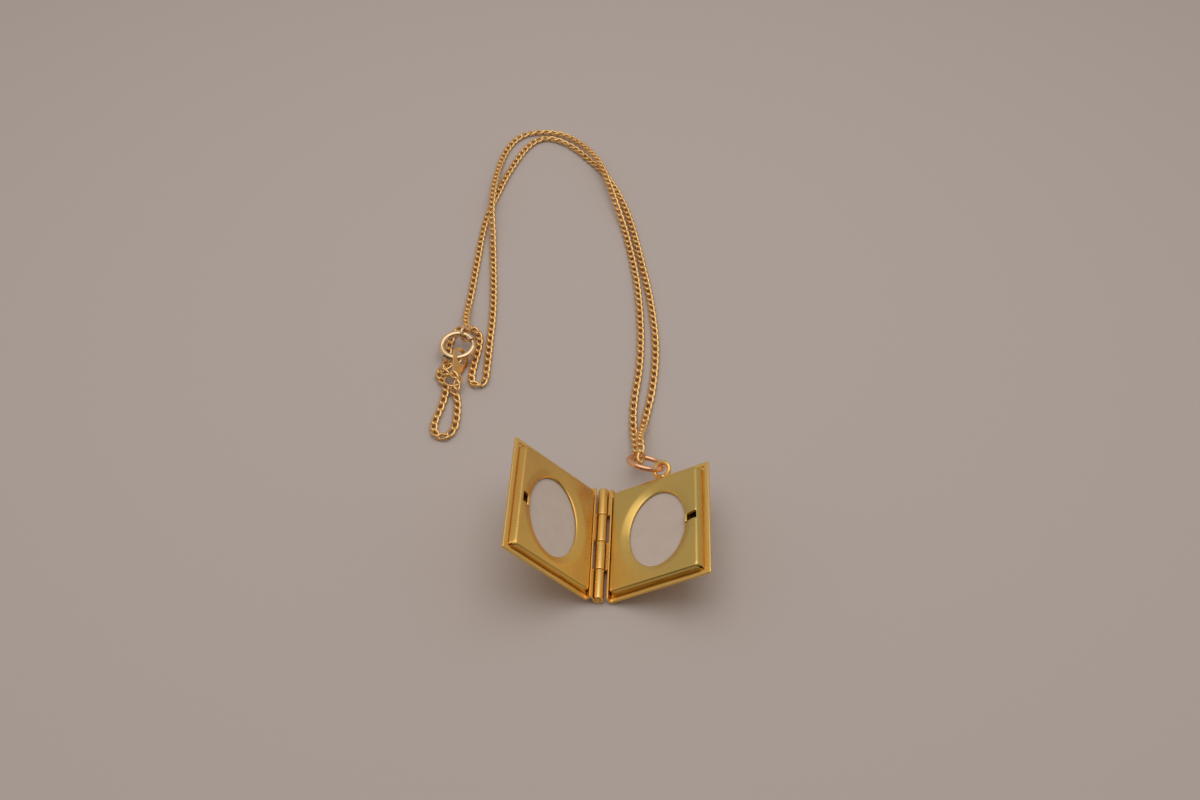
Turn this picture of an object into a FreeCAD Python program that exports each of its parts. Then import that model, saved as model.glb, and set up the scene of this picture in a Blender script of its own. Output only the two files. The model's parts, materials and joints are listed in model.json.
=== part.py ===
import FreeCAD, Part
import os
from math import cos, pi, radians, sin, tan
from Sketcher import Constraint

# A book locket on a fine curb chain, lying open on its spine as it was put down.
# Millimetres. X runs to the right, Y away from the front, Z up, with the table at Z = 0.
# A leaf has its own axes: x runs from the hinge axis to the fore edge, y along the hinge,
# z out of the picture side. z = 0 is the plane where the two picture frames meet when shut.

os.makedirs("parts", exist_ok=True)
doc = FreeCAD.newDocument("book_locket")
Vector = FreeCAD.Vector
Rotation = FreeCAD.Rotation
Placement = FreeCAD.Placement
xAxis = Vector(1, 0, 0)
yAxis = Vector(0, 1, 0)
zAxis = Vector(0, 0, 1)

# Driving dimensions, in millimetres and degrees
sizes = {
    # where the middle of the hinge stands, and how far each leaf is raised from flat
    "hingeX": 5.461, "hingeY": -47.183, "hingeYaw": 2.3, "tiltRight": 28.7, "tiltLeft": 44.1,
    # stamped cover: a shallow tray with a rolled rim on three sides and a tall spine wall
    "sheetGauge": 0.3, "coverStart": 1.1, "coverEnd": 15.7, "coverHalf": 9.75,
    "rimRight": 1.0, "rimLeft": 0.8, "rimWidth": 0.6, "coverDepth": 0.5,
    "rimRound": 0.2, "coverRound": 0.22, "cornerRound": 0.3,
    "spineTop": 0.15,
    # picture frame: a folded tray with open corners, standing inside the cover
    "footGap": 0.05, "faceDepth": 0.05, "frameBend": 0.5,
    "footStart": 1.55, "footEnd": 15.02, "footHalf": 8.98,
    "faceStart": 1.65, "faceEnd": 14.6, "faceHalf": 8.75, "notchWidth": 0.4, "notchDepth": 0.6,
    # oval window with a drawn-in bevel, and the card behind it
    "windowX": 8.4, "windowWide": 4.2, "windowTall": 6.1,
    "bevelWide": 5.3, "bevelTall": 7.2, "bevelDepth": 0.4,
    "cardWide": 4.75, "cardTall": 6.7, "cardX": 8.85, "cardGauge": 0.2, "cardGap": 0.05,
    # catch slots near the fore edges
    "slotRight": 13.6, "slotRightWide": 1.8, "slotRightTall": 1.3,
    "slotLeft": 13.5, "slotLeftWide": 0.95, "slotLeftTall": 1.7, "catchGauge": 0.2,
    # hinge: four rolled knuckles on one pin
    "barrelRadius": 0.75, "boreRadius": 0.36, "pinRadius": 0.33, "pinLength": 19.5,
    "knucklePitch": 4.9, "knuckleGap": 0.1, "tabTop": 0.1,
    # wire eye on the far edge of the right cover, and the jump ring through it
    "eyeX": 8.8, "eyeY": 11.05, "eyeZ": -0.95, "eyeRadius": 1.12, "eyeWire": 0.33, "eyeLift": 20.0,
    "solderY": 9.88, "solderZ": -1.1, "solderRadius": 0.36,
    "ringRadius": 2.55, "ringWire": 0.37, "ringHeading": 149.0, "ringSlope": 4.5, "ringRoll": 30.0,
    "ringShift": 0.22,
    # spring ring clasp: hollow ring, sliding bolt, linking ring
    "claspX": -22.58, "claspY": 39.78, "claspZ": 2.0, "claspTilt": 9.5,
    "claspRadius": 2.46, "claspTube": 0.52, "claspBore": 0.35, "boltRadius": 0.29,
    "mouthStart": -5.0, "mouthEnd": 27.0, "boltTip": 31.0, "boltTravel": 36.0,
    "triggerAngle": -97.0, "triggerRadius": 0.25, "triggerReach": 0.85, "slotHigh": 0.62,
    "linkRadius": 1.08, "linkWire": 0.22, "linkAngle": 66.0, "linkOffset": 0.2, "linkLean": 25.0,
    # end tag and end ring
    "tagHead": 1.7, "tagHole": 1.12, "tagToe": 0.68, "tagEyelet": 0.38, "tagLength": 3.5,
    "tagGauge": 0.25, "tagSlack": 0.1,
    "tagAngle": -74.0, "tagHeading": -100.0, "tagSlope": 3.0, "tagRoll": -57.0,
    "endX": -22.75, "endY": 32.44, "endZ": 1.42, "endRadius": 1.35, "endWire": 0.17,
    # chain tube
    "chainRadius": 0.5,
}
sheet = doc.addObject("Spreadsheet::Sheet", "sizes")
for row, (alias, value) in enumerate(sizes.items(), start=1):
    sheet.set(f"A{row}", alias)
    sheet.set(f"B{row}", str(value))
    sheet.setAlias(f"B{row}", alias)
doc.recompute()


def size(alias):
    return float(sheet.get(alias))


def bind(item, **rules):
    # each rule is an expression on the sheet; a double underscore in a name stands for a dot
    for name, rule in rules.items():
        item.setExpression(name.replace("__", "."), rule)
    return item


def turned(axis, angle):
    return Rotation(axis, angle)


# The hinge's barrel rests on the table, or the right cover's rounded spine corner if that is lower
tilt = radians(size("tiltRight"))
cornerX = size("coverStart") + size("coverRound")
cornerZ = size("rimRight") + size("coverDepth") - size("coverRound")
cornerLow = cornerZ * cos(tilt) - cornerX * sin(tilt) + size("coverRound")
axisHeight = max(cornerLow, size("barrelRadius"))
hinge = Vector(size("hingeX"), size("hingeY"), axisHeight)
hingeTurn = turned(zAxis, -size("hingeYaw"))
placeRight = Placement(hinge, hingeTurn * turned(yAxis, -size("tiltRight")))
placeLeft = Placement(hinge, hingeTurn * turned(zAxis, 180) * turned(yAxis, -size("tiltLeft")))


# Sketches and features
def makeBody(label):
    body = doc.addObject("PartDesign::Body", label)
    body.Label = label
    return body


def originPlane(body, role):
    return [feature for feature in body.Origin.OriginFeatures if feature.Role == role][0]


def makeSketch(body, name, role="XY_Plane", offset=None):
    sketch = body.newObject("Sketcher::SketchObject", body.Name + "_" + name)
    sketch.AttachmentSupport = [(originPlane(body, role), "")]
    sketch.MapMode = "FlatFace"
    if offset:
        sketch.setExpression("AttachmentOffset.Base.z", offset)
    return sketch


def measure(sketch, name, rule, *values):
    # a named dimension, bound to the sheet
    index = sketch.addConstraint(Constraint(*values))
    sketch.renameConstraint(index, name)
    sketch.setExpression("Constraints." + name, rule)


def drawRectangle(sketch, left, right, half, bottom=None):
    # from left to right along x; y from bottom up to half, or as far below the x axis as above it
    first = sketch.GeometryCount
    low = 1.0 if bottom else -1.0
    corners = [Vector(1, low, 0), Vector(2, low, 0), Vector(2, 2, 0), Vector(1, 2, 0)]
    for start, end in zip(corners, corners[1:] + corners[:1]):
        sketch.addGeometry(Part.LineSegment(start, end), False)
    near, outer, far, inner = range(first, first + 4)
    for one, two in ((near, outer), (outer, far), (far, inner), (inner, near)):
        sketch.addConstraint(Constraint("Coincident", one, 2, two, 1))
    for line in (near, far):
        sketch.addConstraint(Constraint("Horizontal", line))
    sketch.addConstraint(Constraint("Vertical", inner))
    measure(sketch, f"left{first}", left, "DistanceX", -1, 1, near, 1, 1.0)
    measure(sketch, f"right{first}", right, "DistanceX", -1, 1, outer, 1, 2.0)
    if bottom:
        sketch.addConstraint(Constraint("Vertical", outer))
        measure(sketch, f"bottom{first}", bottom, "DistanceY", -1, 1, near, 1, 1.0)
        measure(sketch, f"top{first}", half, "DistanceY", -1, 1, outer, 2, 2.0)
    else:
        sketch.addConstraint(Constraint("Symmetric", near, 2, outer, 2, -1))
        measure(sketch, f"tall{first}", f"2 * ({half})", "DistanceY", outer, 1, outer, 2, 3.0)


def drawOval(sketch, middle, wide, tall):
    # an upright oval on the x axis: wide and tall are its half widths
    first = sketch.GeometryCount
    x = size("windowX")
    sketch.addGeometry(Part.Ellipse(Vector(x, 6, 0), Vector(x + 4, 0, 0), Vector(x, 0, 0)), False)
    sketch.exposeInternalGeometry(first)
    sketch.addConstraint(Constraint("Vertical", first + 1))
    sketch.addConstraint(Constraint("PointOnObject", first, 3, -1))
    measure(sketch, f"middle{first}", middle, "DistanceX", -1, 1, first, 3, x)
    measure(sketch, f"tall{first}", f"2 * ({tall})", "Distance", first + 1, 12.0)
    measure(sketch, f"wide{first}", f"2 * ({wide})", "Distance", first + 2, 8.0)


def drawCircle(sketch, radius, x=None, y=None):
    first = sketch.GeometryCount
    sketch.addGeometry(Part.Circle(Vector(1, 1, 0), zAxis, 0.5), False)
    if x:
        measure(sketch, f"x{first}", x, "DistanceX", -1, 1, first, 3, 1.0)
        measure(sketch, f"y{first}", y, "DistanceY", -1, 1, first, 3, 1.0)
    else:
        sketch.addConstraint(Constraint("Coincident", first, 3, -1, 1))
    measure(sketch, f"radius{first}", radius, "Radius", first, 0.5)


def extrude(body, kind, sketch, length, reversed=False, midplane=False):
    feature = body.newObject("PartDesign::" + kind, sketch.Name + "_" + kind.lower())
    feature.Profile = sketch
    feature.setExpression("Length", length)
    feature.Reversed = reversed
    feature.Midplane = midplane
    doc.recompute()
    return feature


def loft(body, kind, sketches):
    feature = body.newObject("PartDesign::" + kind, sketches[0].Name + "_" + kind.lower())
    feature.Profile = sketches[0]
    feature.Sections = sketches[1:]
    feature.Ruled = True
    doc.recompute()
    return feature


def roundEdges(body, name, radius, wanted):
    # fillet the edges of the tip for which wanted(middle point, edge) is true
    doc.recompute()
    base = body.Tip
    edges = []
    for number, edge in enumerate(base.Shape.Edges, start=1):
        low, high = edge.ParameterRange
        if wanted(edge.valueAt((low + high) / 2), edge):
            edges.append(f"Edge{number}")
    fillet = body.newObject("PartDesign::Fillet", body.Name + "_" + name)
    fillet.Base = (base, edges)
    fillet.setExpression("Radius", radius)
    doc.recompute()
    return fillet


def near(value, target, room=0.02):
    return abs(value - target) < room


# Covers
def makeCover(label, rim, firstKnuckle, withEye):
    # rim names the depth of the rim's top below the plane where the leaves meet
    body = makeBody(label)
    rimZ = -size(rim)
    backZ = rimZ - size("coverDepth")

    block = makeSketch(body, "block", offset=f"-sizes.{rim}")
    drawRectangle(block, "sizes.coverStart", "sizes.coverEnd", "sizes.coverHalf")
    extrude(body, "Pad", block, "sizes.coverDepth", reversed=True)

    def outerBack(point, edge):
        return near(point.z, backZ)

    def rimTop(point, edge):
        onSpine = near(point.x, size("coverStart"))
        return near(point.z, rimZ) and not onSpine

    def uprightCorner(point, edge):
        straight = len(edge.Vertexes) == 2 and near(edge.Vertexes[0].X, edge.Vertexes[1].X)
        upright = straight and near(edge.Vertexes[0].Y, edge.Vertexes[1].Y)
        return upright and point.x > size("coverEnd") - 1

    roundEdges(body, "corners", "sizes.cornerRound", uprightCorner)
    roundEdges(body, "back", "sizes.coverRound", outerBack)
    roundEdges(body, "rim", "sizes.rimRound", rimTop)

    tray = makeSketch(body, "tray", offset=f"-sizes.{rim}")
    drawRectangle(tray, "sizes.coverStart + sizes.sheetGauge", "sizes.coverEnd - sizes.rimWidth",
                  "sizes.coverHalf - sizes.rimWidth")
    extrude(body, "Pocket", tray, "sizes.coverDepth - sizes.sheetGauge")

    spine = makeSketch(body, "spine", offset="-sizes.spineTop")
    drawRectangle(spine, "sizes.coverStart", "sizes.coverStart + sizes.sheetGauge",
                  "2 * sizes.knucklePitch - sizes.knuckleGap / 2")
    extrude(body, "Pad", spine, f"sizes.{rim} + sizes.coverDepth / 2 - sizes.spineTop", reversed=True)

    # two knuckles, two pitches apart, each with the flat tab that rolls into it
    middle = f"sizes.knucklePitch * ({firstKnuckle} - 1.5)"
    long = "sizes.knucklePitch - sizes.knuckleGap"
    barrel = makeSketch(body, "barrel", role="XZ_Plane", offset="-(" + middle + ")")
    drawCircle(barrel, "sizes.barrelRadius")
    drawCircle(barrel, "sizes.boreRadius")
    knuckle = extrude(body, "Pad", barrel, long, midplane=True)
    tab = makeSketch(body, "tab", offset="-sizes.tabTop")
    half = "(sizes.knucklePitch - sizes.knuckleGap) / 2"
    drawRectangle(tab, "0.8 * sizes.barrelRadius", "sizes.coverStart + sizes.sheetGauge / 2",
                  f"{middle} + {half}", bottom=f"{middle} - {half}")
    plate = extrude(body, "Pad", tab, "sizes.sheetGauge", reversed=True)
    row = body.newObject("PartDesign::LinearPattern", body.Name + "_knuckles")
    row.Originals = [knuckle, plate]
    row.Direction = (barrel, ["N_Axis"])
    row.Occurrences = 2
    row.setExpression("Length", "2 * sizes.knucklePitch")
    body.Tip = row
    doc.recompute()

    if withEye:
        eye = body.newObject("PartDesign::AdditiveTorus", body.Name + "_eye")
        eye.AttachmentOffset = Placement(Vector(), turned(xAxis, size("eyeLift")))
        bind(eye, Radius1="sizes.eyeRadius", Radius2="sizes.eyeWire",
             AttachmentOffset__Base__x="sizes.eyeX", AttachmentOffset__Base__y="sizes.eyeY",
             AttachmentOffset__Base__z="sizes.eyeZ")
        eye.AttachmentSupport = [(originPlane(body, "XY_Plane"), "")]
        eye.MapMode = "FlatFace"
        # the solder that holds the eye on the cover's edge
        solder = body.newObject("PartDesign::AdditiveSphere", body.Name + "_solder")
        bind(solder, Radius="sizes.solderRadius", AttachmentOffset__Base__x="sizes.eyeX",
             AttachmentOffset__Base__y="sizes.solderY", AttachmentOffset__Base__z="sizes.solderZ")
        solder.AttachmentSupport = [(originPlane(body, "XY_Plane"), "")]
        solder.MapMode = "FlatFace"
        doc.recompute()
    return body


# Picture frames
def foldedTray(body, kind, name, foot, footInset, faceInset, depth):
    # a block from the walls' feet up to the face; the wedge's own y axis is turned to the leaf's z
    wedge = body.newObject("PartDesign::" + kind, body.Name + "_" + name)
    wedge.AttachmentOffset = Placement(Vector(), turned(xAxis, 90))
    wedge.AttachmentSupport = [(originPlane(body, "XY_Plane"), "")]
    wedge.MapMode = "FlatFace"
    bind(wedge, Ymin=f"-({foot})", Ymax=f"-({depth})",
         Xmin=f"sizes.footStart + {footInset}", Xmax=f"sizes.footEnd - {footInset}",
         Zmin=f"{footInset} - sizes.footHalf", Zmax=f"sizes.footHalf - {footInset}",
         X2min=f"sizes.faceStart + {faceInset}", X2max=f"sizes.faceEnd - {faceInset}",
         Z2min=f"{faceInset} - sizes.faceHalf", Z2max=f"sizes.faceHalf - {faceInset}")
    doc.recompute()


def makeFrame(label, rim, slotX, slotWide, slotTall, catchAt):
    body = makeBody(label)
    faceZ = -size("faceDepth")
    foot = f"sizes.{rim} + sizes.coverDepth - sizes.sheetGauge - sizes.footGap"

    # the outside, its bends, and the inside: each a block whose four walls lean in towards the face
    foldedTray(body, "AdditiveWedge", "outside", foot, "0", "0", "sizes.faceDepth")
    roundEdges(body, "bends", "sizes.frameBend", lambda point, edge: near(point.z, faceZ))
    foldedTray(body, "SubtractiveWedge", "inside", foot, "sizes.sheetGauge", "1.5 * sizes.sheetGauge",
               "sizes.faceDepth + sizes.sheetGauge")

    # the bevel's own sheet behind the face, then its slope and the window through it
    collarTop = makeSketch(body, "collarTop", offset="-sizes.faceDepth - sizes.sheetGauge / 2")
    drawOval(collarTop, "sizes.windowX", "sizes.bevelWide + sizes.sheetGauge",
             "sizes.bevelTall + sizes.sheetGauge")
    collarFoot = makeSketch(body, "collarFoot", offset="-sizes.bevelDepth - sizes.sheetGauge")
    drawOval(collarFoot, "sizes.windowX", "sizes.windowWide + sizes.sheetGauge",
             "sizes.windowTall + sizes.sheetGauge")
    loft(body, "AdditiveLoft", [collarTop, collarFoot])
    slopeTop = makeSketch(body, "slopeTop", offset="-sizes.faceDepth")
    drawOval(slopeTop, "sizes.windowX", "sizes.bevelWide", "sizes.bevelTall")
    slopeFoot = makeSketch(body, "slopeFoot", offset="-sizes.bevelDepth")
    drawOval(slopeFoot, "sizes.windowX", "sizes.windowWide", "sizes.windowTall")
    loft(body, "SubtractiveLoft", [slopeTop, slopeFoot])
    window = makeSketch(body, "window")
    drawOval(window, "sizes.windowX", "sizes.windowWide", "sizes.windowTall")
    extrude(body, "Pocket", window, foot)

    # the walls are separate flaps: a notch opens each corner below the bend
    for name, start, end in (("spineNotch", "sizes.footStart", "sizes.footStart + sizes.notchWidth"),
                             ("foreNotch", "sizes.footEnd - sizes.notchWidth", "sizes.footEnd")):
        notch = makeSketch(body, name, offset="-sizes.faceDepth - sizes.notchDepth")
        for side in (-1, 1):
            low = "-sizes.footHalf" if side < 0 else "sizes.footHalf - sizes.notchWidth"
            high = "sizes.notchWidth - sizes.footHalf" if side < 0 else "sizes.footHalf"
            drawRectangle(notch, start, end, high, bottom=low)
        extrude(body, "Pocket", notch, foot)

    # catch slot near the fore edge, with a small pressed tongue in it
    slot = makeSketch(body, "slot")
    drawRectangle(slot, f"{slotX} - {slotWide} / 2", f"{slotX} + {slotWide} / 2", f"{slotTall} / 2")
    extrude(body, "Pocket", slot, "sizes.faceDepth + 2 * sizes.sheetGauge")
    tongue = makeSketch(body, "tongue", offset="-sizes.faceDepth - 0.7 * sizes.sheetGauge")
    start = f"{slotX} + {slotWide} / 2 * ({catchAt}) - sizes.catchGauge"
    drawRectangle(tongue, start, f"{start} + 2 * sizes.catchGauge", f"{slotTall} / 2 + sizes.catchGauge")
    extrude(body, "Pad", tongue, "sizes.catchGauge", reversed=True)
    return body


def makeCard(label):
    body = makeBody(label)
    card = makeSketch(body, "card", offset="-sizes.bevelDepth - sizes.sheetGauge - sizes.cardGap")
    drawOval(card, "sizes.cardX", "sizes.cardWide", "sizes.cardTall")
    extrude(body, "Pad", card, "sizes.cardGauge", reversed=True)
    return body


coverRight = makeCover("cover_right", "rimRight", 3, True)
frameRight = makeFrame("frame_right", "rimRight", "sizes.slotRight", "sizes.slotRightWide", "sizes.slotRightTall", "-1")
cardRight = makeCard("card_right")
coverLeft = makeCover("cover_left", "rimLeft", 3, False)
frameLeft = makeFrame("frame_left", "rimLeft", "sizes.slotLeft", "sizes.slotLeftWide", "sizes.slotLeftTall", "0.6")
cardLeft = makeCard("card_left")
for piece in (coverRight, frameRight, cardRight):
    piece.Placement = placeRight
for piece in (coverLeft, frameLeft, cardLeft):
    piece.Placement = placeLeft

# Hinge pin
pin = makeBody("hinge_pin")
pinEnd = makeSketch(pin, "section", role="XZ_Plane")
drawCircle(pinEnd, "sizes.pinRadius")
extrude(pin, "Pad", pinEnd, "sizes.pinLength", midplane=True)
pin.Placement = Placement(hinge, hingeTurn)


# Wire rings
def makeTorus(name, radius, wire, start=0.0, sweep="360"):
    torus = doc.addObject("Part::Torus", name)
    torus.Placement = Placement(Vector(), turned(zAxis, start))
    return bind(torus, Radius1=radius, Radius2=wire, Angle3=sweep)


eyeMiddle = placeRight.multVec(Vector(size("eyeX"), size("eyeY"), size("eyeZ")))
ringTurn = turned(zAxis, size("ringHeading")) * turned(yAxis, size("ringSlope"))
ringTurn = ringTurn * turned(xAxis, size("ringRoll"))
ringMiddle = eyeMiddle + Vector(0, size("ringShift"), 0)
ringMiddle = ringMiddle + ringTurn.multVec(Vector(size("ringRadius"), 0, 0))
jumpRing = makeTorus("jump_ring", "sizes.ringRadius", "sizes.ringWire")
jumpRing.Placement = Placement(ringMiddle, ringTurn)


# Spring ring clasp. Its angles are counted about its own z, from its own x.
claspPlace = Placement(hinge + Vector(size("claspX"), size("claspY"), size("claspZ") - axisHeight),
                       turned(xAxis, size("claspTilt")))


def onClasp(angle, radius, z=0.0):
    return Vector(radius * cos(radians(angle)), radius * sin(radians(angle)), z)


tubeSweep = "360 - sizes.mouthEnd + sizes.mouthStart"
tubeWall = makeTorus("tubeWall", "sizes.claspRadius", "sizes.claspTube", size("mouthEnd"), tubeSweep)
tubeBore = makeTorus("tubeBore", "sizes.claspRadius", "sizes.claspBore", size("mouthEnd"), tubeSweep)
hollowTube = doc.addObject("Part::Cut", "hollowTube")
hollowTube.Base = tubeWall
hollowTube.Tool = tubeBore

# the trigger's slot: a slice of a flat band round the outside of the tube
slotRoom = 8.5
triggerSeat = size("triggerAngle") + 180 / pi * size("triggerRadius") / size("claspRadius")
slotStart = triggerSeat - size("boltTravel") - slotRoom
bandSweep = f"sizes.boltTravel + {2 * slotRoom}"
bandOuter = doc.addObject("Part::Cylinder", "bandOuter")
bind(bandOuter, Radius="sizes.claspRadius + 2 * sizes.claspTube", Height="sizes.slotHigh", Angle=bandSweep)
bandInner = doc.addObject("Part::Cylinder", "bandInner")
bind(bandInner, Radius="sizes.claspRadius", Height="sizes.slotHigh", Angle=bandSweep)
for part in (bandOuter, bandInner):
    part.Placement = Placement(Vector(0, 0, -size("slotHigh") / 2), turned(zAxis, slotStart))
band = doc.addObject("Part::Cut", "band")
band.Base = bandOuter
band.Tool = bandInner
claspRing = doc.addObject("Part::Cut", "clasp_ring")
claspRing.Base = hollowTube
claspRing.Tool = band
claspRing.Placement = claspPlace

boltSweep = "sizes.boltTip - sizes.triggerAngle"
boltWire = makeTorus("boltWire", "sizes.claspRadius", "sizes.boltRadius", size("triggerAngle"), boltSweep)
trigger = doc.addObject("Part::Cylinder", "trigger")
bind(trigger, Radius="sizes.triggerRadius", Height="sizes.triggerReach")
triggerTurn = turned(zAxis, triggerSeat) * turned(yAxis, 90)
trigger.Placement = Placement(onClasp(triggerSeat, size("claspRadius")), triggerTurn)
claspBolt = doc.addObject("Part::MultiFuse", "clasp_bolt")
claspBolt.Shapes = [boltWire, trigger]
claspBolt.Placement = claspPlace

# linking ring round the clasp's tube
linkTurn = turned(zAxis, size("linkAngle")) * turned(xAxis, 90 - size("linkLean"))
claspLink = makeTorus("clasp_link", "sizes.linkRadius", "sizes.linkWire")
linkSpot = Placement(onClasp(size("linkAngle"), size("claspRadius") + size("linkOffset")), linkTurn)
claspLink.Placement = claspPlace.multiply(linkSpot)

# End tag: a teardrop plate, hooked on the clasp's tube, its toe on the end ring
tag = makeBody("end_tag")
for name, radius, where in (("head", "sizes.tagHead", None), ("toe", "sizes.tagToe", "sizes.tagLength")):
    disc = makeSketch(tag, name)
    if where:
        drawCircle(disc, radius, where, "0")
    else:
        drawCircle(disc, radius)
    extrude(tag, "Pad", disc, "sizes.tagGauge", midplane=True)
web = makeSketch(tag, "web")
shoulder = "sizes.tagHead - sizes.tagToe"
corners = [Vector(1, -1, 0), Vector(3, -0.5, 0), Vector(3, 0.5, 0), Vector(1, 1, 0)]
for start, end in zip(corners, corners[1:] + corners[:1]):
    web.addGeometry(Part.LineSegment(start, end), False)
for line in range(4):
    web.addConstraint(Constraint("Coincident", line, 2, (line + 1) % 4, 1))
web.addConstraint(Constraint("Symmetric", 0, 1, 2, 2, -1))
web.addConstraint(Constraint("Symmetric", 0, 2, 1, 2, -1))
lean = f"({shoulder}) / sizes.tagLength"
measure(web, "headX", f"sizes.tagHead * {lean}", "DistanceX", -1, 1, 0, 1, 1.0)
measure(web, "toeX", f"sizes.tagLength + sizes.tagToe * {lean}", "DistanceX", -1, 1, 0, 2, 3.0)
measure(web, "headTall", f"2 * sizes.tagHead * sqrt(1 - ({lean}) ^ 2)", "DistanceY", 3, 2, 3, 1, 2.0)
measure(web, "toeTall", f"2 * sizes.tagToe * sqrt(1 - ({lean}) ^ 2)", "DistanceY", 1, 1, 1, 2, 1.0)
extrude(tag, "Pad", web, "sizes.tagGauge", midplane=True)
holes = makeSketch(tag, "holes")
drawCircle(holes, "sizes.tagHole")
drawCircle(holes, "sizes.tagEyelet", "sizes.tagLength + sizes.tagToe / 4", "0")
extrude(tag, "Pocket", holes, "4 * sizes.tagGauge", midplane=True)
tagTurn = turned(zAxis, size("tagHeading")) * turned(yAxis, size("tagSlope")) * turned(xAxis, size("tagRoll"))
tagSpot = claspPlace.multVec(onClasp(size("tagAngle"), size("claspRadius")))
tag.Placement = Placement(tagSpot + tagTurn.multVec(Vector(size("tagSlack"), 0, 0)), tagTurn)

endRing = makeTorus("end_ring", "sizes.endRadius", "sizes.endWire")
endRing.Placement = Placement(hinge + Vector(size("endX"), size("endY"), size("endZ") - axisHeight), Rotation())

# Chain: one long tube in the chain's width. Each row is one point, measured from the middle of
# the hinge along X and Y, with the height of the tube's middle above the table.
onTable = size("chainRadius")
outwardRun = (
    (-21.34, 43.65, 2.55), (-21.79, 46.04, 2.0), (-21.84, 48.83, 1.2),
    (-21.74, 52.12, onTable), (-21.47, 56.18, onTable), (-21.26, 61.18, onTable), (-21.03, 65.94, onTable),
    (-20.79, 70.99, onTable), (-20.36, 75.78, onTable), (-19.68, 79.57, onTable), (-18.74, 83.6, onTable),
    (-17.64, 88.32, onTable), (-16.32, 92.86, onTable), (-14.62, 97.69, onTable), (-12.73, 101.04, onTable),
    (-10.21, 102.33, onTable), (-7.09, 100.88, onTable), (-4.23, 97.85, onTable), (-1.59, 93.79, onTable),
    (0.65, 90.42, onTable), (2.16, 86.83, onTable), (3.56, 82.44, onTable), (4.9, 77.17, onTable),
    (6.15, 69.65, onTable), (7.1, 62.07, onTable), (7.96, 55.57, onTable), (8.54, 48.98, onTable),
    (8.8, 42.67, onTable), (8.55, 36.61, onTable),
    (7.76, 29.93, onTable), (7.06, 26.65, onTable), (6.58, 23.86, 0.8), (6.06, 20.65, 1.9),
)
roundRing = (
    (5.61, 17.37, 3.86), (5.86, 13.27, 4.26), (5.21, 13.12, 1.96), (5.11, 17.17, 1.76), (4.97, 20.35, 0.95),
)
returnRun = (
    (4.82, 23.27, onTable), (4.92, 26.85, onTable), (5.27, 30.43, onTable),
    (6.08, 36.07, onTable), (6.44, 42.67, onTable), (6.44, 49.57, onTable), (6.15, 57.42, onTable),
    (5.28, 65.42, onTable), (4.03, 73.98, onTable), (2.61, 79.57, 1.5), (1.47, 84.92, 1.8),
    (0.39, 90.14, 1.8), (-1.07, 94.44, 1.6), (-3.54, 99.45, 0.9), (-6.69, 103.14, onTable),
    (-9.65, 104.175, onTable), (-12.32, 104.175, onTable), (-14.85, 103.31, onTable), (-17.02, 100.4, onTable),
    (-18.52, 95.34, onTable), (-19.21, 88.33, 1.3), (-19.5, 82.01, 1.8), (-19.43, 76.61, 1.8),
    (-18.92, 71.52, 1.3), (-18.58, 66.34, onTable), (-18.14, 59.91, onTable), (-17.78, 53.74, onTable),
    (-17.63, 48.4, onTable), (-17.75, 42.67, onTable),
    (-17.81, 36.4, onTable), (-17.91, 32.32, onTable), (-20.15, 32.52, onTable),
    (-20.0, 36.7, onTable), (-19.4, 40.68, onTable), (-19.4, 43.96, onTable), (-20.79, 46.05, onTable),
    (-22.88, 45.85, onTable), (-23.98, 43.66, onTable), (-24.18, 40.68, onTable), (-24.18, 38.19, onTable),
    (-24.48, 36.4, onTable), (-25.37, 35.01, onTable), (-24.77, 33.42, onTable), (-23.88, 32.12, onTable),
    (-23.88, 29.74, onTable), (-24.38, 26.75, onTable), (-25.07, 23.87, onTable), (-24.77, 21.48, onTable),
    (-22.98, 20.78, onTable), (-21.79, 22.67, onTable), (-21.69, 26.05, onTable), (-21.89, 29.44, onTable),
    (-22.49, 30.53, 0.7),
)


def tubePath(points):
    # straight runs joined by arcs that touch them, each as large as the shorter run allows
    edges = []
    start = points[0]
    radii = []
    for before, corner, after in zip(points, points[1:], points[2:]):
        into = (corner - before).normalize()
        out = (after - corner).normalize()
        half = into.getAngle(out) / 2
        reach = 0.45 * min((corner - before).Length, (after - corner).Length)
        radius = reach / tan(half)
        towards = (out - into).normalize()
        middle = corner + towards * (radius / cos(half))
        first = corner - into * reach
        last = corner + out * reach
        edges.append(Part.LineSegment(start, first).toShape())
        edges.append(Part.Arc(first, middle - towards * radius, last).toShape())
        start = last
        radii.append(radius)
    edges.append(Part.LineSegment(start, points[-1]).toShape())
    return Part.Wire(edges), radii


ground = Vector(hinge.x, hinge.y, 0)
route = [ground + Vector(*point) for point in outwardRun + roundRing + returnRun]
path, arcRadii = tubePath(route)
section = Part.Wire(Part.Circle(route[0], route[1] - route[0], size("chainRadius")).toShape())
tube = path.makePipeShell([section], True, False)
chain = doc.addObject("Part::Feature", "chain")
chain.Shape = tube
expected = pi * size("chainRadius") ** 2 * path.Length
print("chain length", round(path.Length, 1), "volume ratio", round(tube.Volume / expected, 4))
print("arc radii", [round(radius, 1) for radius in arcRadii])

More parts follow.
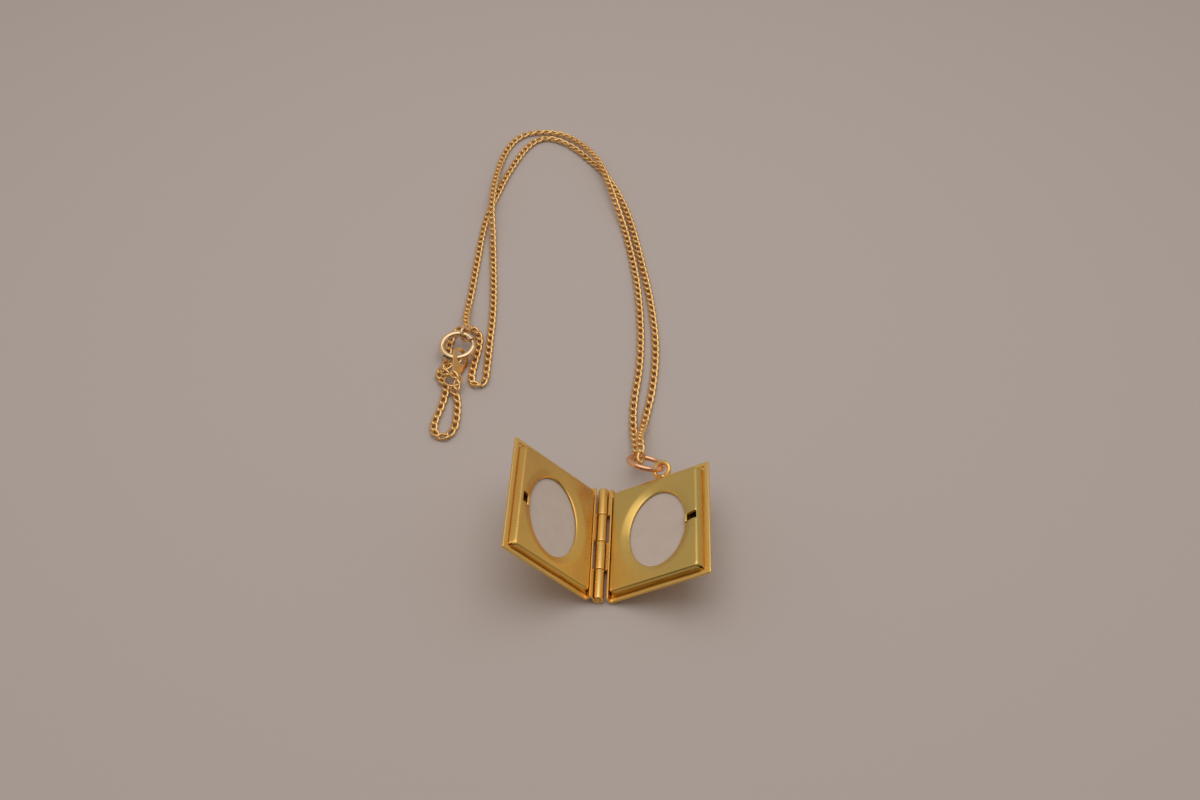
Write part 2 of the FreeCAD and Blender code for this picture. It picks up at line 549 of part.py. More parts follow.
# Check every object, then write the sub-parts
doc.recompute()
nodes = [coverRight, frameRight, cardRight, coverLeft, frameLeft, cardLeft, pin, jumpRing, claspRing,
         claspBolt, claspLink, tag, endRing, chain]
for item in doc.Objects:
    if "Invalid" in item.State or "Error" in item.State:
        raise RuntimeError(f"{item.Label} failed: {item.State}")
whole = FreeCAD.BoundBox()
for node in nodes:
    shape = node.Shape
    if shape.isNull() or not shape.isValid() or len(shape.Solids) != 1:
        raise RuntimeError(f"{node.Label} is not one sound solid ({len(shape.Solids)})")
    whole.add(shape.optimalBoundingBox(False))
    shape.exportStep(f"parts/{node.Label}.step")
    print(node.Label, "volume", round(shape.Volume, 2))
print("box", [round(value, 3) for value in (whole.XMin, whole.XMax, whole.YMin, whole.YMax, whole.ZMin, whole.ZMax)])
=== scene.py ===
import json
import math
import bmesh
import bpy
import numpy as np
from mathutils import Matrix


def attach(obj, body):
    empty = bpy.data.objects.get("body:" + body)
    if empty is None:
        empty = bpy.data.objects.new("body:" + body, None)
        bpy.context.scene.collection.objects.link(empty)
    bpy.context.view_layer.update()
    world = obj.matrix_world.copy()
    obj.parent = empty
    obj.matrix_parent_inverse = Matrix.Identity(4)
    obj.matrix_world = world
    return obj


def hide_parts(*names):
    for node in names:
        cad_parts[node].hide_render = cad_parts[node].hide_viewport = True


# A book locket lying open on its spine, with its chain. Shapes are worked out in millimetres
# in a leaf's or a ring's own axes, then turned and moved to where the CAD nodes stand.

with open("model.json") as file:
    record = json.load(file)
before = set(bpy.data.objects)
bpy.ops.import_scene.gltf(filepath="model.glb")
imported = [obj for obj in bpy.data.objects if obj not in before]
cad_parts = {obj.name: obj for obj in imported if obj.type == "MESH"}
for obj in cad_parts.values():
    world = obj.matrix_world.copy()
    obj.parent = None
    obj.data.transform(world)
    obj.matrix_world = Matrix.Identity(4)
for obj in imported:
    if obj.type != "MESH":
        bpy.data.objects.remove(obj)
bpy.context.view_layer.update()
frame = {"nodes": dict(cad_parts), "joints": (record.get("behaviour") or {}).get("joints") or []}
mm = 0.001

hingeJoint = [joint for joint in frame["joints"] if joint["name"] == "leaf_hinge"][0]
hinge = np.array(hingeJoint["pos_m"]) / mm

pose = {"yaw": 2.3, "tiltRight": 28.7, "tiltLeft": 44.1}


def turn(axis, degrees):
    # rotation about x, y or z: cos and sin of the angle in the plane of the other two axes
    c, s = math.cos(math.radians(degrees)), math.sin(math.radians(degrees))
    return {"x": np.array([[1, 0, 0], [0, c, -s], [0, s, c]]),
            "y": np.array([[c, 0, s], [0, 1, 0], [-s, 0, c]]),
            "z": np.array([[c, -s, 0], [s, c, 0], [0, 0, 1]])}[axis]


rightTurn = turn("z", -pose["yaw"]) @ turn("y", -pose["tiltRight"])
leftTurn = turn("z", -pose["yaw"]) @ turn("z", 180) @ turn("y", -pose["tiltLeft"])


# Materials
def newGroup(name, inputs, outputs):
    group = bpy.data.node_groups.new(name, "ShaderNodeTree")
    for socket, kind, value in inputs:
        made = group.interface.new_socket(socket, in_out="INPUT", socket_type=kind)
        made.default_value = value
    for socket, kind in outputs:
        group.interface.new_socket(socket, in_out="OUTPUT", socket_type=kind)
    start = group.nodes.new("NodeGroupInput")
    end = group.nodes.new("NodeGroupOutput")
    return group, start, end


def addNode(tree, kind, links=None, **values):
    # a node with its settings and input values; links name the sockets that feed its inputs
    node = tree.nodes.new("ShaderNode" + kind)
    for name, value in values.items():
        if hasattr(node, name):
            setattr(node, name, value)
        else:
            node.inputs[name.replace("_", " ")].default_value = value
    for name, source in (links or {}).items():
        socket = node.inputs[name] if not name.isdigit() else node.inputs[int(name)]
        tree.links.new(source, socket)
    return node


def mixColors(tree, factor, one, two, blend="MIX"):
    node = tree.nodes.new("ShaderNodeMix")
    node.data_type = "RGBA"
    node.blend_type = blend
    for socket, value in ((0, factor), (6, one), (7, two)):
        if isinstance(value, (float, tuple)):
            node.inputs[socket].default_value = value
        else:
            tree.links.new(value, node.inputs[socket])
    return node.outputs[2]


def ramp(tree, source, low, high, fromLow, fromHigh):
    node = addNode(tree, "MapRange", {"Value": source}, From_Min=fromLow, From_Max=fromHigh,
                   To_Min=low, To_Max=high)
    return node.outputs["Result"]


def timesNumber(tree, source, number):
    node = addNode(tree, "Math", {"0": source}, operation="MULTIPLY")
    node.inputs[1].default_value = number
    return node.outputs[0]


def hairlines(tree, place, rotation, scale, low, high):
    # noise drawn out into long thin lines: fine across them, coarse along them
    stretched = addNode(tree, "Mapping", {"Vector": place}, Rotation=rotation, Scale=scale)
    hairs = addNode(tree, "TexNoise", {"Vector": stretched.outputs[0]}, Scale=1.0, Detail=1.0)
    return ramp(tree, hairs.outputs[0], 0.0, 1.0, low, high)


# painted golden bounce light: the deeper, warmer tone is strongest at the near end of the hinge,
# where the leaves meet the table, and gone at "none", all in metres
bounceSpotAndWear = {"middle": (0.0, -0.057, 0.0), "full": 0.003, "none": 0.021,
            "patchShare": 0.35, "scratchDepth": -0.35}


def joinNumbers(tree, operation, first, second, **settings):
    node = addNode(tree, "Math", {"0": first, "1": second}, operation=operation, **settings)
    return node.outputs[0]


def makeGiltWearAndBounce():
    # worn gilding: slow drifts of tone, fine grain, and long hairline scratches, with painted
    # golden bounce light near the hinge
    group, start, end = newGroup(
        "giltWearAndBounce",
        [("Gold", "NodeSocketColor", (0.8, 0.6, 0.3, 1)),
         ("Deep", "NodeSocketColor", (0.6, 0.3, 0.1, 1)),
         ("Patch Size", "NodeSocketFloat", 250.0), ("Grain Size", "NodeSocketFloat", 5000.0),
         ("Smooth", "NodeSocketFloat", 0.2), ("Rough", "NodeSocketFloat", 0.35),
         ("Bounce Share", "NodeSocketFloat", 0.0)],
        [("Color", "NodeSocketColor"), ("Roughness", "NodeSocketFloat"),
         ("Height", "NodeSocketFloat")])
    given = start.outputs
    place = addNode(group, "TexCoord").outputs["Object"]
    patch = addNode(group, "TexNoise", {"Vector": place, "Scale": given["Patch Size"]},
                    Detail=3.0, Roughness=0.55)
    grain = addNode(group, "TexNoise", {"Vector": place, "Scale": given["Grain Size"]},
                    Detail=2.0, Roughness=0.6)
    line = hairlines(group, place, (0.4, 0.3, 0.9), (9000.0, 260.0, 260.0), 0.68, 0.80)
    crossLine = hairlines(group, place, (0.1, 0.5, -0.6), (240.0, 8000.0, 240.0), 0.70, 0.82)
    scratch = joinNumbers(group, "MAXIMUM", line, crossLine)
    tone = ramp(group, patch.outputs[0], 0.0, 1.0, 0.35, 0.7)
    # the deeper tone comes up in patches, and, as painted golden bounce light, towards the spot at
    # the near end of the hinge
    away = addNode(group, "VectorMath", {"0": place}, operation="DISTANCE")
    away.inputs[1].default_value = bounceSpotAndWear["middle"]
    fall = ramp(group, away.outputs["Value"], 1.0, 0.0, bounceSpotAndWear["full"], bounceSpotAndWear["none"])
    paintedBounce = joinNumbers(group, "MULTIPLY", fall, given["Bounce Share"])
    patchy = timesNumber(group, tone, bounceSpotAndWear["patchShare"])
    deepShare = joinNumbers(group, "ADD", patchy, paintedBounce, use_clamp=True)
    color = mixColors(group, deepShare, given["Gold"], given["Deep"])
    group.links.new(color, end.inputs["Color"])
    # dull where it is patchy or scratched
    span = joinNumbers(group, "SUBTRACT", given["Rough"], given["Smooth"])
    dull = joinNumbers(group, "MAXIMUM", tone, scratch)
    rough = addNode(group, "Math", {"0": dull, "1": span, "2": given["Smooth"]},
                    operation="MULTIPLY_ADD")
    group.links.new(rough.outputs[0], end.inputs["Roughness"])
    groove = timesNumber(group, scratch, bounceSpotAndWear["scratchDepth"])
    height = joinNumbers(group, "ADD", grain.outputs[0], groove)
    group.links.new(height, end.inputs["Height"])
    return group


giltWearAndBounce = makeGiltWearAndBounce()


def makeGold(name, finish):
    material = bpy.data.materials.new(name)
    material.use_nodes = True
    tree = material.node_tree
    shader = tree.nodes["Principled BSDF"]
    shader.inputs["Metallic"].default_value = 1.0
    wearAndBounce = tree.nodes.new("ShaderNodeGroup")
    wearAndBounce.node_tree = giltWearAndBounce
    for socket in ("Gold", "Deep"):
        wearAndBounce.inputs[socket].default_value = finish[socket] + (1.0,)
    for socket in ("Patch Size", "Grain Size", "Smooth", "Rough", "Bounce Share"):
        wearAndBounce.inputs[socket].default_value = finish[socket]
    tree.links.new(wearAndBounce.outputs["Color"], shader.inputs["Base Color"])
    tree.links.new(wearAndBounce.outputs["Roughness"], shader.inputs["Roughness"])
    relief = addNode(tree, "Bump", {"Height": wearAndBounce.outputs["Height"]},
                     Strength=finish["Relief"], Distance=0.00001)
    tree.links.new(relief.outputs[0], shader.inputs["Normal"])
    return material


def makeCardMaterial():
    # pale uncoated card: faint mottling and paper fibres
    material = bpy.data.materials.new("paperCard")
    material.use_nodes = True
    tree = material.node_tree
    shader = tree.nodes["Principled BSDF"]
    place = addNode(tree, "TexCoord").outputs["Object"]
    mottle = addNode(tree, "TexNoise", {"Vector": place}, Scale=400.0, Detail=4.0)
    fibre = addNode(tree, "TexNoise", {"Vector": place}, Scale=9000.0, Detail=3.0, Roughness=0.7)
    tone = ramp(tree, mottle.outputs[0], 0.0, 1.0, 0.3, 0.7)
    color = mixColors(tree, tone, (0.70, 0.605, 0.525, 1.0), (0.655, 0.56, 0.48, 1.0))
    tree.links.new(color, shader.inputs["Base Color"])
    shader.inputs["Roughness"].default_value = 0.85
    relief = addNode(tree, "Bump", {"Height": fibre.outputs[0]}, Strength=0.35, Distance=0.00003)
    tree.links.new(relief.outputs[0], shader.inputs["Normal"])
    return material


# each finish's last number is its share of the painted golden bounce light by the hinge; the frames
# take it fully
rightGold = makeGold("rightFrameGold", {
    "Gold": (0.70, 0.51, 0.16), "Deep": (0.86, 0.55, 0.135), "Smooth": 0.25, "Rough": 0.34,
    "Patch Size": 130.0, "Grain Size": 5200.0, "Relief": 0.2, "Bounce Share": 1.0})
# painted reflection: warmer, as it faces the other leaf and takes its golden glow
leftGold = makeGold("leftFrameGold", {
    "Gold": (0.75, 0.445, 0.12), "Deep": (0.92, 0.58, 0.14), "Smooth": 0.25, "Rough": 0.34,
    "Patch Size": 130.0, "Grain Size": 5200.0, "Relief": 0.2, "Bounce Share": 1.0})
coverGold = makeGold("coverGold", {
    "Gold": (0.95, 0.62, 0.19), "Deep": (0.92, 0.54, 0.13), "Smooth": 0.24, "Rough": 0.34,
    "Patch Size": 170.0, "Grain Size": 4200.0, "Relief": 0.15, "Bounce Share": 0.3})
hingeGold = makeGold("hingeGold", {
    "Gold": (0.86, 0.57, 0.17), "Deep": (0.82, 0.48, 0.11), "Smooth": 0.22, "Rough": 0.32,
    "Patch Size": 400.0, "Grain Size": 6000.0, "Relief": 0.15, "Bounce Share": 0.3})
chainGold = makeGold("chainGold", {
    "Gold": (0.98, 0.64, 0.26), "Deep": (0.90, 0.50, 0.16), "Smooth": 0.18, "Rough": 0.28,
    "Patch Size": 260.0, "Grain Size": 9000.0, "Relief": 0.15, "Bounce Share": 0.3})
ringGold = makeGold("ringGold", {
    "Gold": (0.95, 0.55, 0.33), "Deep": (0.86, 0.42, 0.22), "Smooth": 0.14, "Rough": 0.24,
    "Patch Size": 380.0, "Grain Size": 7000.0, "Relief": 0.15, "Bounce Share": 0.3})
claspGold = makeGold("claspGold", {
    "Gold": (0.90, 0.66, 0.38), "Deep": (0.84, 0.56, 0.28), "Smooth": 0.12, "Rough": 0.22,
    "Patch Size": 350.0, "Grain Size": 7000.0, "Relief": 0.15, "Bounce Share": 0.3})
cardPaper = makeCardMaterial()
print("materials made")


# Meshes
def gridCells(rows, columns, wrapRows=False, wrapColumns=False):
    # four corner numbers of each cell between neighbouring rows and columns
    row, column = np.meshgrid(np.arange(rows if wrapRows else rows - 1),
                              np.arange(columns if wrapColumns else columns - 1), indexing="ij")
    nextRow, nextColumn = (row + 1) % rows, (column + 1) % columns
    corners = (row * columns + column, nextRow * columns + column,
               nextRow * columns + nextColumn, row * columns + nextColumn)
    return np.stack(corners, axis=-1)


def makePiece(name, parts, material, body, node, wall=0.0, edge=0.0, crease=38.0):
    # parts are (points, cells) pairs in millimetres of the row frame, joined into one mesh
    points, cells, count = [], [], 0
    for part, quads in parts:
        part = np.asarray(part, dtype=float).reshape(-1, 3)
        points.append(part)
        cells.append(np.asarray(quads).reshape(-1, 4) + count)
        count += len(part)
    points, cells = np.concatenate(points) * mm, np.concatenate(cells)
    mesh = bpy.data.meshes.new(name)
    mesh.vertices.add(len(points))
    mesh.vertices.foreach_set("co", points.ravel())
    mesh.loops.add(cells.size)
    mesh.loops.foreach_set("vertex_index", cells.ravel().astype(np.int32))
    mesh.polygons.add(len(cells))
    mesh.polygons.foreach_set("loop_start", np.arange(0, cells.size, 4, dtype=np.int32))
    mesh.polygons.foreach_set("use_smooth", np.ones(len(cells), dtype=bool))
    mesh.update(calc_edges=True)
    mesh.validate()
    # seams and poles closed; whole shells then get their faces turned outward
    build = bmesh.new()
    build.from_mesh(mesh)
    bmesh.ops.remove_doubles(build, verts=build.verts, dist=1e-8)
    if not wall:
        bmesh.ops.recalc_face_normals(build, faces=build.faces)
    build.to_mesh(mesh)
    build.free()
    mesh.set_sharp_from_angle(angle=math.radians(crease))
    mesh.materials.append(material)
    piece = bpy.data.objects.new(name, mesh)
    bpy.context.scene.collection.objects.link(piece)
    if wall:
        solid = piece.modifiers.new("wall", "SOLIDIFY")
        solid.thickness = wall * mm
        solid.offset = -1.0
    if edge:
        bevel = piece.modifiers.new("edge", "BEVEL")
        bevel.width = edge * mm
        bevel.segments = 2
        bevel.limit_method = "ANGLE"
        bevel.angle_limit = math.radians(40)
        bevel.harden_normals = False
    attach(piece, body)
    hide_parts(node)


def placed(points, rotation, middle):
    # own axes to the row frame: turned, then moved
    return np.asarray(points, dtype=float) @ rotation.T + np.asarray(middle, dtype=float)


def overTable(piece):
    # x and y are measured from the middle of the hinge, z from the table
    return np.array([hinge[0] + piece["x"], hinge[1] + piece["y"], piece["z"]])


def boxLoops(x0, x1, y0, y1, corner, steps):
    # rows of points round a rectangle with rounded corners. Each side runs through the same
    # steps from -1 to 1. A point p becomes q + r (p - q) / |p - q|, with q the nearest point
    # of the rectangle that lies r further in.
    x0, x1, y0, y1, corner = [np.asarray(value, dtype=float).reshape(-1, 1)
                              for value in np.broadcast_arrays(x0, x1, y0, y1, corner)]
    t = np.asarray(steps)[None, :-1]
    middleX, halfX = (x0 + x1) / 2, (x1 - x0) / 2
    middleY, halfY = (y0 + y1) / 2, (y1 - y0) / 2
    one = np.ones_like(t)
    x = np.concatenate([x1 * one, middleX - halfX * t, x0 * one, middleX + halfX * t], axis=1)
    y = np.concatenate([middleY + halfY * t, y1 * one, middleY - halfY * t, y0 * one], axis=1)
    innerX = np.clip(x, x0 + corner, x1 - corner)
    innerY = np.clip(y, y0 + corner, y1 - corner)
    away = np.hypot(x - innerX, y - innerY)
    scale = corner / np.maximum(away, 1e-9)
    return innerX + (x - innerX) * scale, innerY + (y - innerY) * scale


def evenSteps(marks):
    # symmetric steps from -1 to 1 through the given marks between 0 and 1
    marks = sorted(set(marks) | {0.0, 1.0})
    return np.array([-mark for mark in marks[:0:-1]] + marks)


# Covers: each is a stamped tray with a rolled rim, a tall spine wall, and two rolled knuckles
cover = {"start": 1.1, "end": 15.88, "half": 9.75, "rightRim": -1.0, "leftRim": -0.8,
         "wall": 0.3, "spineTop": -0.15, "spineHalf": 9.75}
# across the rim, from the middle of the floor to the middle of the back:
# inset from the fore, near and far sides; from the spine side; height from the rim; corner radius
coverProfile = np.array([
    (7.39, 7.39, -0.20, 0.0), (4.0, 4.0, -0.20, 0.05), (1.2, 0.8, -0.20, 0.10),
    (0.66, 0.36, -0.20, 0.10), (0.62, 0.31, -0.18, 0.10), (0.60, 0.30, -0.14, 0.10),
    (0.59, 0.295, -0.07, 0.10), (0.56, 0.27, -0.025, 0.10), (0.50, 0.24, -0.005, 0.11),
    (0.40, 0.19, 0.0, 0.13), (0.25, 0.14, 0.0, 0.16), (0.10, 0.09, -0.004, 0.19),
    (-0.01, 0.045, -0.02, 0.22), (-0.07, 0.02, -0.055, 0.25), (-0.10, 0.005, -0.11, 0.28),
    (-0.105, 0.0, -0.18, 0.29), (-0.09, 0.01, -0.28, 0.28), (-0.03, 0.045, -0.385, 0.26),
    (0.06, 0.11, -0.45, 0.23), (0.18, 0.22, -0.49, 0.20), (0.38, 0.40, -0.50, 0.18),
    (0.9, 0.9, -0.50, 0.15), (2.0, 2.0, -0.50, 0.10), (4.2, 4.2, -0.50, 0.05),
    (7.39, 7.39, -0.50, 0.0)])
coverSteps = evenSteps((0.2, 0.4, 0.6, 0.8, 0.9, 0.95, 0.965, 0.975, 0.983, 0.99, 0.996))


def coverShell(rim, wobble):
    inset, spineInset, height, corner = coverProfile.T
    x, y = boxLoops(cover["start"] + spineInset, cover["end"] - inset, inset - cover["half"],
                    cover["half"] - inset, corner, coverSteps)
    # the rim wavers a little: a slow sine along the leaf, fading out below it
    share = np.clip(1 + height / 0.2, 0, 1)[:, None]
    z = rim + height[:, None] + share * wobble * np.sin(0.9 * x + 0.7 * y)
    return np.stack([x, y, z], axis=-1), gridCells(*x.shape, wrapColumns=True)


def stripAlong(pairs, low, high, cuts):
    # a thick strip: pairs of outer and inner points (x, z) carried along y, closed at both ends.
    # The ring of the profile is outer points there and inner points back.
    outer, inner = np.asarray(pairs)[:, :2], np.asarray(pairs)[:, 2:]
    ring = np.concatenate([outer, inner[::-1]])
    ys = low + (high - low) * np.asarray(cuts)
    y = np.repeat(ys[:, None], len(ring), axis=1)
    x = np.repeat(ring[None, :, 0], len(ys), axis=0)
    z = np.repeat(ring[None, :, 1], len(ys), axis=0)
    n = len(outer)
    sides = gridCells(len(ys), len(ring), wrapColumns=True).reshape(-1, 4)[:, ::-1]
    i = np.arange(n - 1)
    cap = np.stack([i, i + 1, 2 * n - 2 - i, 2 * n - 1 - i], axis=-1)
    endCap = cap[:, ::-1] + (len(ys) - 1) * len(ring)
    return np.stack([x, y, z], axis=-1), np.concatenate([sides, cap, endCap])


# the leaves' knuckles take turns along the pin, so each leaf has every other one
knuckles = {"pitch": 4.9, "length": 4.8, "places": (1.5, -0.5), "outer": 0.75, "inner": 0.36}


def knuckleProfile():
    # the sheet comes in level as a tab, rolls under and round the pin, and stops above the tab
    outer, inner = knuckles["outer"], knuckles["inner"]
    a = np.radians(-np.linspace(36.0, 352.0, 44))
    b = np.radians(-np.linspace(20.0, 352.0, 44))
    roll = np.stack([outer * np.cos(a), outer * np.sin(a),
                     inner * np.cos(b), inner * np.sin(b)], axis=1)
    tab = np.array([(1.28, -0.40, 1.28, -0.10), (1.0, -0.40, 1.0, -0.10),
                    (0.78, -0.41, 0.80, -0.10), (0.68, -0.425, 0.62, -0.11),
                    (0.63, -0.435, 0.45, -0.125)])
    return np.concatenate([tab, roll])


def knuckle(middle, length):
    # the rolled ends are eased: the last cuts draw in towards the sheet's middle line
    pairs = knuckleProfile()
    cuts = np.array([0.0, 0.006, 0.018, 0.04, 0.5, 0.96, 0.982, 0.994, 1.0])
    points, cells = stripAlong(pairs, middle - length / 2, middle + length / 2, cuts)
    ring, n = points[4], len(pairs)
    centre = (ring[:n] + ring[n:][::-1]) / 2
    centre = np.concatenate([centre, centre[::-1]])
    ease = np.array([0.55, 0.85, 0.97, 1.0, 1.0, 1.0, 0.97, 0.85, 0.55])[:, None]
    for axis in (0, 2):
        points[:, :, axis] = centre[None, :, axis] * (1 - ease) + points[:, :, axis] * ease
    return points, cells


def spineWall(rim):
    top, foot, x0, x1 = cover["spineTop"], rim - 0.4, cover["start"], cover["start"] + cover["wall"]
    pairs = [(x0, foot, x1, foot), (x0, top - 0.12, x1, top - 0.12),
             (x0 + 0.02, top - 0.05, x1 - 0.02, top - 0.05),
             (x0 + 0.07, top - 0.01, x1 - 0.07, top - 0.01), (x0 + 0.13, top, x1 - 0.13, top)]
    return stripAlong(pairs, -cover["spineHalf"], cover["spineHalf"], np.linspace(0, 1, 5))


def torus(radius, wire, rotation, middle, turns=(0.0, 360.0), around=20, along=96, swell=0.0):
    # ((R + w cos b) cos a, (R + w cos b) sin a, w sin b), turned and moved; swell makes it oval
    whole = abs(turns[1] - turns[0] - 360.0) < 1e-6
    a = np.linspace(turns[0], turns[1], along + 1)[:along if whole else along + 1]
    a = np.radians(a)[:, None]
    b = np.radians(np.linspace(0, 360, around, endpoint=False))[None, :]
    thick = np.full_like(a, wire)
    if not whole:
        # rounded ends: the wire's thickness falls to nothing over the last rows
        ease = np.array([0.0, 0.45, 0.75, 0.93])[:, None]
        into = np.array([0.0, 0.08, 0.25, 0.5])[:, None] * wire / radius
        a = np.concatenate([a[0] + into, a[2:-2], a[-1] - into[::-1]])
        thick = np.concatenate([wire * ease, thick[2:-2], wire * ease[::-1]])
    reach = radius * (1 + swell * np.cos(2 * a)) + thick * np.cos(b)
    points = np.stack([reach * np.cos(a), reach * np.sin(a), thick * np.sin(b)], axis=-1)
    cells = gridCells(*points.shape[:2], wrapRows=whole, wrapColumns=True)
    return placed(points, rotation, middle), cells


def ball(radius, rotation, middle):
    # a drop of solder: a sphere's grid, a little longer in x
    a = np.radians(np.linspace(-90, 90, 13))[:, None]
    b = np.radians(np.linspace(0, 360, 24, endpoint=False))[None, :]
    x, y, z = 1.35 * np.cos(a) * np.cos(b), np.cos(a) * np.sin(b), np.sin(a) + 0 * b
    points = radius * np.stack([x, y, z], axis=-1)
    return placed(points, rotation, middle), gridCells(13, 24, wrapColumns=True)[:, :, ::-1]


eye = {"x": 8.8, "y": 11.05, "z": -0.95, "radius": 1.12, "wire": 0.33, "lift": 20.0,
       "solderY": 9.88, "solderZ": -1.1, "solderRadius": 0.36}


def makeCover(name, node, body, rotation, rim, wobble, withEye):
    shell, shellCells = coverShell(rim, wobble)
    parts = [(placed(shell, rotation, hinge), shellCells)]
    wall, wallCells = spineWall(rim)
    parts.append((placed(wall, rotation, hinge), wallCells))
    for place in knuckles["places"]:
        points, cells = knuckle(knuckles["pitch"] * place, knuckles["length"])
        parts.append((placed(points, rotation, hinge), cells))
    if withEye:
        middle = hinge + rotation @ np.array([eye["x"], eye["y"], eye["z"]])
        eyeTurn = rotation @ turn("x", eye["lift"])
        parts.append(torus(eye["radius"], eye["wire"], eyeTurn, middle, along=64))
        bead = np.array([eye["x"], eye["solderY"], eye["solderZ"]])
        parts.append(ball(eye["solderRadius"], rotation, hinge + rotation @ bead))
    makePiece(name, parts, coverGold, body, node)


makeCover("rightCover", "cover_right", "locket", rightTurn, cover["rightRim"], 0.012, True)
makeCover("leftCover", "cover_left", "left_leaf", leftTurn, cover["leftRim"], -0.012, False)
print("covers made")

# Picture frames: one folded sheet each, from the lip of the oval to the feet of the walls
picture = {"middle": 8.4, "wide": 4.2, "tall": 6.45, "face": -0.05, "rightFoot": -1.15,
           "leftFoot": -0.95, "bend": 0.5, "spineFace": 1.56, "spineFoot": 1.5, "foreFace": 14.5,
           "foreFoot": 15.02, "sideFace": 8.75, "sideFoot": 8.98, "notch": 0.975,
           "notchTop": -0.65, "gauge": 0.3, "sinkMiddle": 8.1, "sinkWide": 13.0, "sinkTall": 17.5}
# the drawn-in bevel, from its lip outwards: step out from the window's edge, and height
bevelProfile = np.array([
    (0.0, -0.62), (0.0, -0.50), (0.04, -0.44), (0.14, -0.385), (0.34, -0.315), (0.60, -0.235),
    (0.86, -0.155), (1.08, -0.095), (1.25, -0.062), (1.40, -0.05)])
# the lug pressed down from the window's end of a slot: step from the slot's end, and height
lugProfile = np.array([(-0.10, -0.16), (0.08, -0.17), (0.22, -0.24), (0.28, -0.34), (0.28, -0.66)])


def bendAndWall(faceEdge, footEdge, foot):
    # a quarter bend of radius R that runs into the leaning wall, as distance out and height
    drop = picture["face"] - foot
    lean = math.atan2(footEdge - faceEdge, drop)
    radius = picture["bend"]
    centre = faceEdge - radius * math.tan((math.pi / 2 - lean) / 2)
    angle = np.linspace(0, math.pi / 2 - lean, 9)
    out = centre + radius * np.sin(angle)
    height = picture["face"] - radius + radius * np.cos(angle)
    wallHeight = np.array([picture["notchTop"], foot * 0.5 - 0.35, foot + 0.06, foot])
    wallOut = faceEdge + (picture["face"] - wallHeight) * math.tan(lean)
    return np.concatenate([out, wallOut]), np.concatenate([height, wallHeight])


def frameGrid(foot, window, steps, sag):
    fore, height = bendAndWall(picture["foreFace"], picture["foreFoot"], foot)
    spine = bendAndWall(-picture["spineFace"], -picture["spineFoot"], foot)[0]
    side, sideHeight = bendAndWall(picture["sideFace"], picture["sideFoot"], foot)
    outward = np.concatenate([[0.0], np.cumsum(np.hypot(np.diff(side), np.diff(sideHeight)))])
    corner = 0.25 + 0.5 * np.minimum(outward, 0.6)
    boxX, boxY = boxLoops(-spine, fore, -side, side, corner, steps)
    # the oval rows share the box's columns: the angle of each column on the first box row.
    # Beside the slot, at the fore side, the columns run straight out from the oval instead.
    step, bevelHeight = bevelProfile[:, :1], bevelProfile[:, 1:]
    across = (boxX[0] - picture["middle"]) / picture["wide"]
    angle = np.arctan2(boxY[0] / picture["tall"], across) + 0 * step
    straight = np.arcsin(np.clip((boxY[0] - window["y"]) / (window["tall"] + step), -1, 1))
    foreSide = boxX[0] > picture["middle"] + picture["wide"]
    near = np.clip(2.0 - np.abs(boxY[0]) / 1.5, 0, 1) * foreSide
    angle = angle * (1 - near) + straight * near
    ovalX = picture["middle"] + (picture["wide"] + step) * np.cos(angle)
    ovalY = window["y"] + (window["tall"] + step) * np.sin(angle)
    # between the last oval and the first box row the face is a blend of the two
    share = np.array([0.2, 0.45, 0.7, 0.88])[:, None]
    faceX = ovalX[-1] * (1 - share) + boxX[0] * share
    faceY = ovalY[-1] * (1 - share) + boxY[0] * share
    x = np.concatenate([ovalX, faceX, boxX])
    y = np.concatenate([ovalY, faceY, boxY])
    z = np.concatenate([np.broadcast_to(bevelHeight, ovalX.shape),
                        np.full_like(faceX, picture["face"]),
                        np.broadcast_to(height[:, None], boxX.shape)])
    # the thin face sinks a little between its bends: a product of two cosines
    alongX = np.cos(np.clip((x - picture["sinkMiddle"]) / picture["sinkWide"], -0.5, 0.5) * math.pi)
    alongY = np.cos(np.clip(y / picture["sinkTall"], -0.5, 0.5) * math.pi)
    return np.stack([x, y, z - sag * (alongX * alongY)], axis=-1)


def frameCells(points, slot, steps):
    cells = gridCells(*points.shape[:2], wrapColumns=True)
    x, y, z = np.moveaxis(points.reshape(-1, 3)[cells].mean(axis=2), -1, 0)
    # open corners at the fore side: cells below the notch line near a column's end are left out
    between = (steps[:-1] + np.append(steps[1:-1], 1.0)) / 2
    atCorner = np.tile(np.abs(between) > picture["notch"], 4)[None, :]
    notch = atCorner & (z < picture["notchTop"] - 0.01) & (x > picture["middle"])
    # and so are the cells of the slot, down to the bevel's lip
    inSlot = (np.abs(x - slot["x"]) < slot["wide"] / 2) & (np.abs(y - slot["y"]) < slot["half"])
    inSlot = inSlot & (z > -0.5)
    return cells[~(notch | inSlot)]


def slotLug(slot):
    step, height = lugProfile[:, :1], lugProfile[:, 1:]
    x = slot["x"] - slot["wide"] / 2 + step
    y = slot["y"] + (slot["half"] + 0.02) * np.linspace(-1, 1, 5)[None, :]
    return np.stack(np.broadcast_arrays(x, y, height), axis=-1), gridCells(5, 5)


def makeFrame(name, node, body, rotation, material, foot, window, slot, sag):
    # columns fall on both edges of the slot and on the notch line, and crowd at the corners
    slotEdges = [abs(slot["y"] + side * slot["half"]) / picture["sideFace"] for side in (-1, 1)]
    steps = evenSteps((*slotEdges, 0.12, 0.25, 0.4, 0.55, 0.7, 0.8, 0.87, 0.91, 0.935, 0.955,
                       picture["notch"], 0.99))
    points = frameGrid(foot, window, steps, sag)
    cells = frameCells(points, slot, steps)
    lug, lugCells = slotLug(slot)
    parts = [(placed(points, rotation, hinge), cells), (placed(lug, rotation, hinge), lugCells)]
    makePiece(name, parts, material, body, node,
              wall=picture["gauge"], edge=0.04, crease=50.0)


